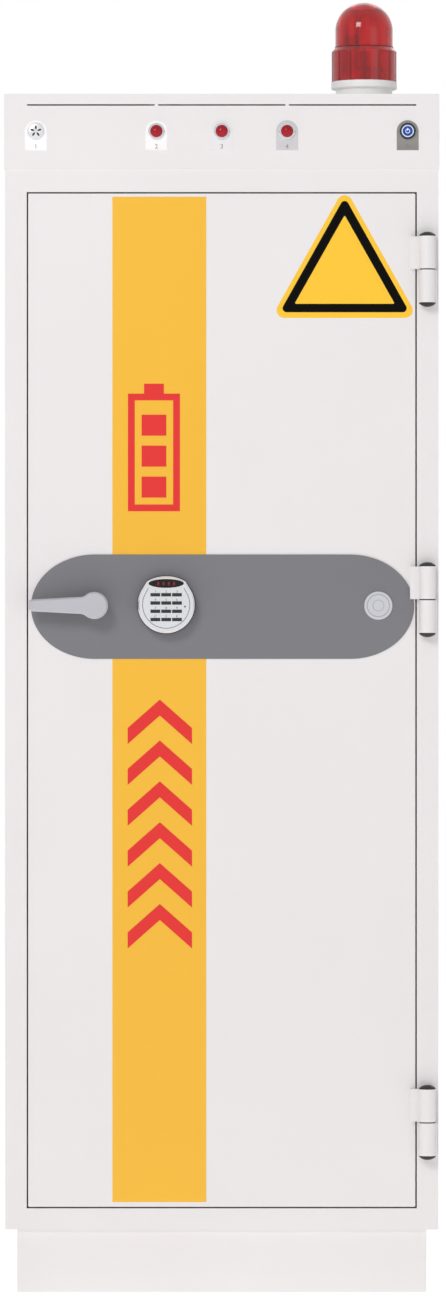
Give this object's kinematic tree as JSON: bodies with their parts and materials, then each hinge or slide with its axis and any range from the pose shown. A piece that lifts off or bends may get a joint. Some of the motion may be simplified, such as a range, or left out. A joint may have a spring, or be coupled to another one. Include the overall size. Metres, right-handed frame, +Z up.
{
  "type": "battery cabinet",
  "caption": "Free-standing fire-protected cabinet for storing and charging batteries, with a keypad and lever door, shelves, sockets, an alarm hood and a rotating beacon",
  "frame": {"origin": "centre of the plinth's footprint, on the floor", "axes": "+Z up, -Y out of the door, +X to the hinge side as seen from the front"},
  "size_m": [0.7078, 0.706, 2.093],
  "materials": {
    "white_paint": "smooth powder coat",
    "liner_paint": "smooth powder coat",
    "fire_board": "fibrous mineral board",
    "seal_rubber": "matt rubber strip",
    "plated_steel": "zinc plated sheet",
    "black_plastic": "fine moulded texture",
    "pale_plastic": "smooth moulded plastic",
    "grey_paint": "flat satin paint",
    "satin_alloy": "satin die casting",
    "dark_window": "dark glossy window",
    "label_metal": "satin anodised",
    "chrome_trim": "polished plating",
    "red_lens": "clear red moulding",
    "blue_cap": "backlit blue cap",
    "circuit_board": "lacquered board",
    "lamp_unit": "moulded lamp holder"
  },
  "bodies": {
    "cabinet": {"plinth": "white_paint", "outer_casing": "white_paint", "inner_liner": "liner_paint", "fire_boards": "fire_board", "front_frame": "white_paint", "frame_seal": "seal_rubber", "shelf_uprights": "plated_steel", "shelves": "plated_steel", "shelf_clips": "plated_steel", "socket_strips": "black_plastic", "smoke_detector": "pale_plastic", "hood_shell": "white_paint", "hood_rear_cover": "white_paint", "cable_gland": "black_plastic", "hood_screws": "plated_steel", "label_plates": "label_metal", "buzzer": "chrome_trim", "lamp_holders": "chrome_trim", "lamp_lenses": "red_lens", "button_body": "black_plastic", "control_board": "circuit_board", "power_supply": "plated_steel", "beacon_base": "pale_plastic", "beacon_lens": "red_lens", "beacon_lamp_and_motor": "lamp_unit", "hinge_frame_knuckles": "white_paint", "hinge_pins": "plated_steel", "hinge_caps_lower": "black_plastic"},
    "beacon_rotor": {"beacon_reflector": "chrome_trim"},
    "power_button": {"power_button_cap": "blue_cap"},
    "door": {"hinge_door_knuckles": "white_paint", "hinge_caps_upper": "black_plastic", "door_skin": "white_paint", "door_core": "fire_board", "door_back_plate": "liner_paint", "door_inner_cover": "liner_paint", "fascia_plate": "grey_paint", "badge_disc": "satin_alloy", "lock_case": "plated_steel", "keypad_base": "black_plastic", "keypad_housing": "satin_alloy", "keypad_display": "dark_window"},
    "handle": {"lever_handle": "satin_alloy", "spindle": "plated_steel", "cam_plate": "plated_steel"},
    "side_bolts": {"side_bolt_bar": "plated_steel"},
    "top_rod": {"top_locking_rod": "plated_steel"},
    "bottom_rod": {"bottom_locking_rod": "plated_steel"},
    "key_1": {"key_1": "black_plastic"},
    "key_2": {"key_2": "black_plastic"},
    "key_3": {"key_3": "black_plastic"},
    "key_4": {"key_4": "black_plastic"},
    "key_5": {"key_5": "black_plastic"},
    "key_6": {"key_6": "black_plastic"},
    "key_7": {"key_7": "black_plastic"},
    "key_8": {"key_8": "black_plastic"},
    "key_9": {"key_9": "black_plastic"},
    "key_clear": {"key_clear": "black_plastic"},
    "key_0": {"key_0": "black_plastic"},
    "key_enter": {"key_enter": "black_plastic"}
  },
  "joints": [
    {"name": "door_hinge", "type": "hinge", "parent": "cabinet", "child": "door", "pos_m": [0.3316, -0.334, 1.1192], "axis": [0, 0, 1], "range_deg": [0, 180]},
    {"name": "handle_turn", "type": "hinge", "parent": "door", "child": "handle", "pos_m": [-0.2052, -0.335, 1.1097], "axis": [0, -1, 0], "range_deg": [0, 90]},
    {"name": "side_bolt_slide", "type": "slide", "parent": "door", "child": "side_bolts", "axis": [-1, 0, 0], "range_m": [0, 0.022]},
    {"name": "top_rod_slide", "type": "slide", "parent": "door", "child": "top_rod", "axis": [0, 0, 1], "range_m": [0, 0.022]},
    {"name": "bottom_rod_slide", "type": "slide", "parent": "door", "child": "bottom_rod", "axis": [0, 0, -1], "range_m": [0, 0.022]},
    {"name": "beacon_spin", "type": "hinge", "parent": "cabinet", "child": "beacon_rotor", "pos_m": [0.2318, -0.23, 1.975], "axis": [0, 0, 1], "continuous": true},
    {"name": "power_button_press", "type": "slide", "parent": "cabinet", "child": "power_button", "axis": [0, 1, 0], "range_m": [0, 0.002], "stiffness_N_per_m": 600},
    {"name": "key_1_press", "type": "slide", "parent": "door", "child": "key_1", "axis": [0, 1, 0], "range_m": [0, 0.001], "stiffness_N_per_m": 400},
    {"name": "key_2_press", "type": "slide", "parent": "door", "child": "key_2", "axis": [0, 1, 0], "range_m": [0, 0.001], "stiffness_N_per_m": 400},
    {"name": "key_3_press", "type": "slide", "parent": "door", "child": "key_3", "axis": [0, 1, 0], "range_m": [0, 0.001], "stiffness_N_per_m": 400},
    {"name": "key_4_press", "type": "slide", "parent": "door", "child": "key_4", "axis": [0, 1, 0], "range_m": [0, 0.001], "stiffness_N_per_m": 400},
    {"name": "key_5_press", "type": "slide", "parent": "door", "child": "key_5", "axis": [0, 1, 0], "range_m": [0, 0.001], "stiffness_N_per_m": 400},
    {"name": "key_6_press", "type": "slide", "parent": "door", "child": "key_6", "axis": [0, 1, 0], "range_m": [0, 0.001], "stiffness_N_per_m": 400},
    {"name": "key_7_press", "type": "slide", "parent": "door", "child": "key_7", "axis": [0, 1, 0], "range_m": [0, 0.001], "stiffness_N_per_m": 400},
    {"name": "key_8_press", "type": "slide", "parent": "door", "child": "key_8", "axis": [0, 1, 0], "range_m": [0, 0.001], "stiffness_N_per_m": 400},
    {"name": "key_9_press", "type": "slide", "parent": "door", "child": "key_9", "axis": [0, 1, 0], "range_m": [0, 0.001], "stiffness_N_per_m": 400},
    {"name": "key_clear_press", "type": "slide", "parent": "door", "child": "key_clear", "axis": [0, 1, 0], "range_m": [0, 0.001], "stiffness_N_per_m": 400},
    {"name": "key_0_press", "type": "slide", "parent": "door", "child": "key_0", "axis": [0, 1, 0], "range_m": [0, 0.001], "stiffness_N_per_m": 400},
    {"name": "key_enter_press", "type": "slide", "parent": "door", "child": "key_enter", "axis": [0, 1, 0], "range_m": [0, 0.001], "stiffness_N_per_m": 400}
  ],
  "couplings": [
    {"joint": "side_bolt_slide", "follows": "handle_turn", "m_per_rad": 0.014},
    {"joint": "top_rod_slide", "follows": "handle_turn", "m_per_rad": 0.014},
    {"joint": "bottom_rod_slide", "follows": "handle_turn", "m_per_rad": 0.014}
  ]
}
